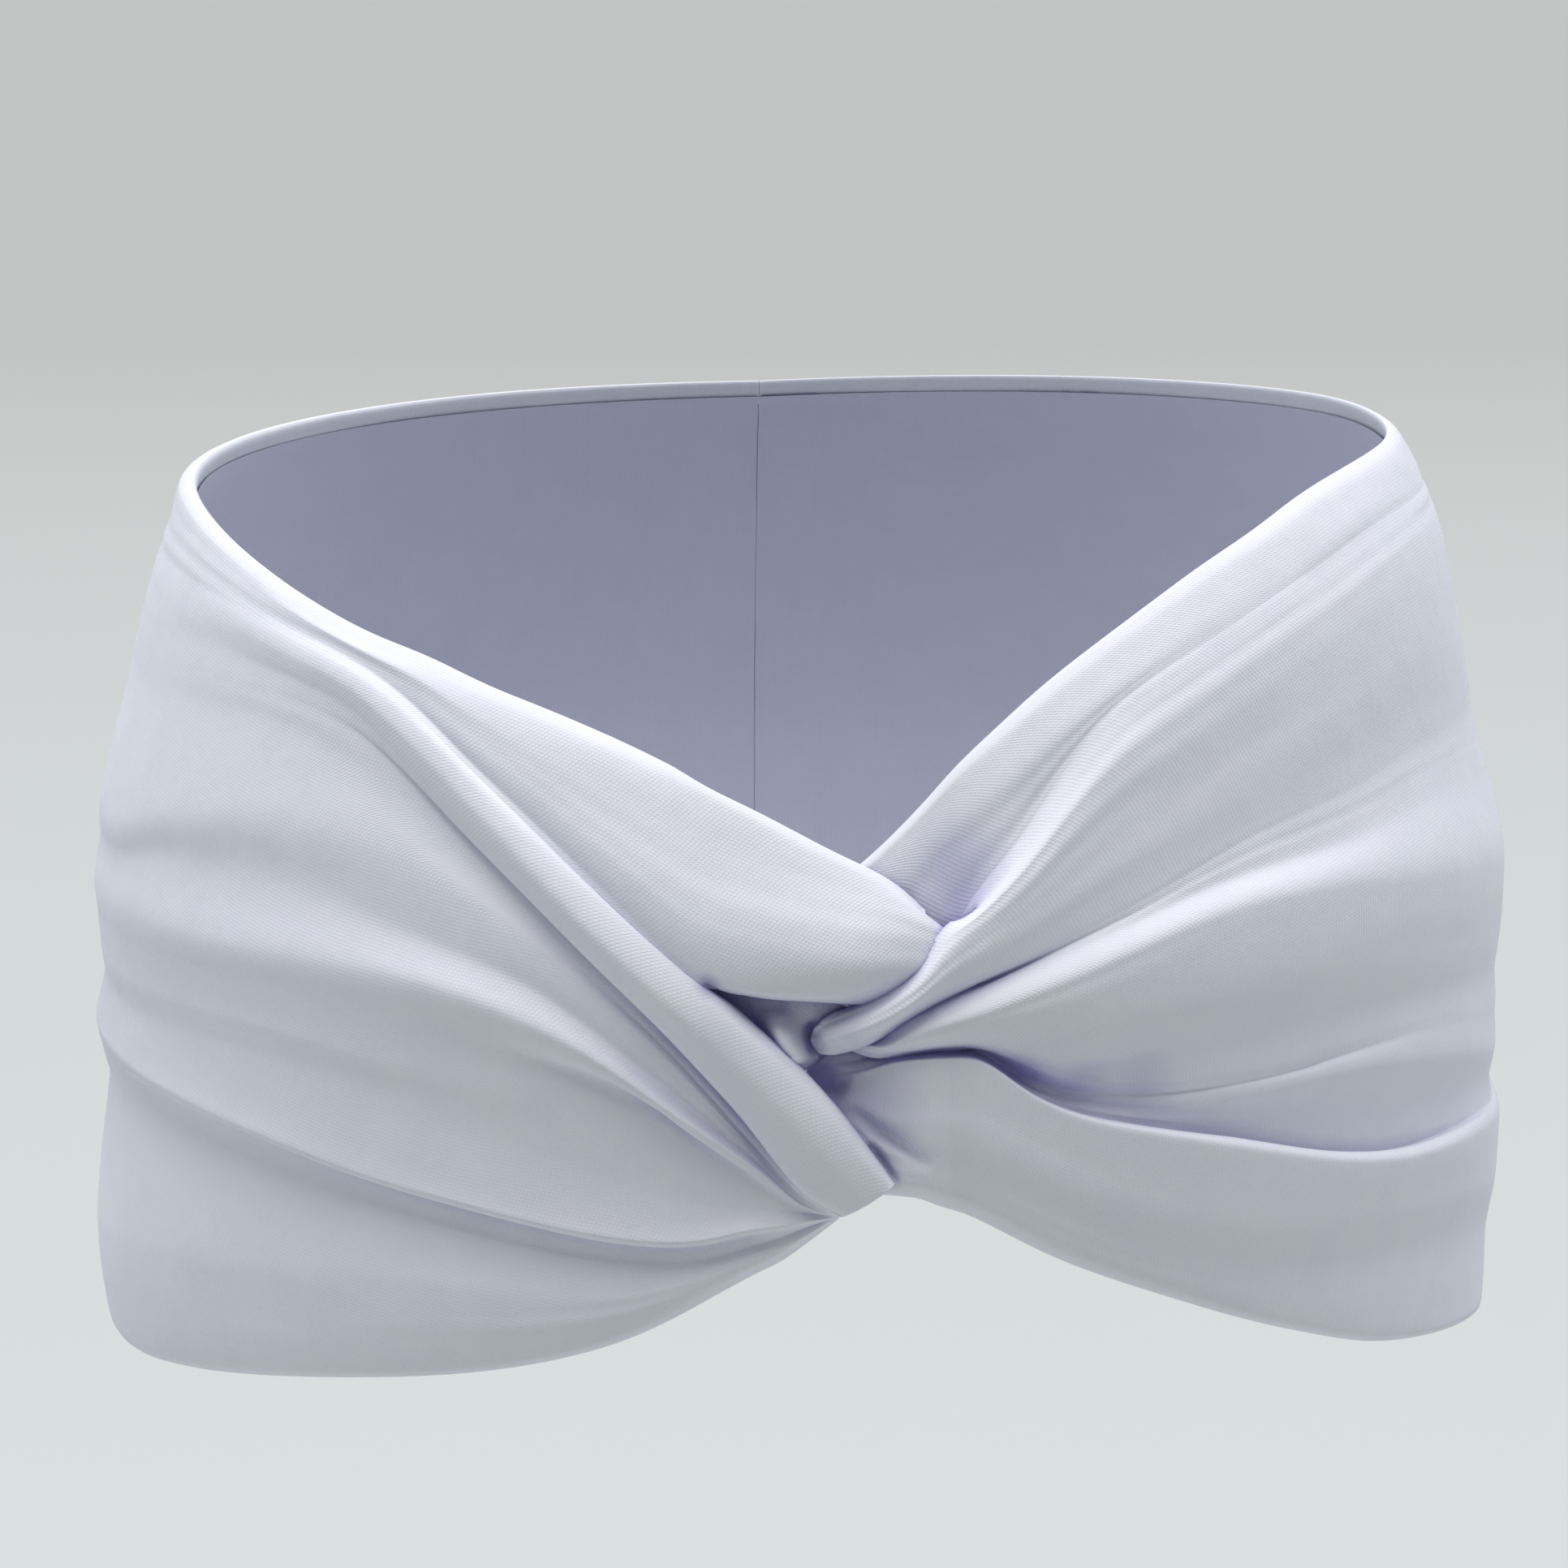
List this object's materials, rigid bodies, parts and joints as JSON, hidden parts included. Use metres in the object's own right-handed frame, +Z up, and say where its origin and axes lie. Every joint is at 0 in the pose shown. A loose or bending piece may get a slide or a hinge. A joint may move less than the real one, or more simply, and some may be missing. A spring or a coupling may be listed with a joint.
{
  "type": "twist headband",
  "caption": "Wide stretch headband of smooth white jersey whose two wraps cross in a soft twist at the centre front, in the form it has when worn.",
  "frame": {"origin": "centre of the head opening at mid height of the band", "axes": "+Z up along the head, -Y towards the front, where the twist is, +X to the wearer's left, which is the viewer's right"},
  "size_m": [0.159, 0.1975, 0.101],
  "materials": {
    "jersey": "soft matte white knit with a faint lavender tint"
  },
  "bodies": {
    "root": {"left_wrap": "jersey", "right_wrap": "jersey"}
  },
  "joints": []
}
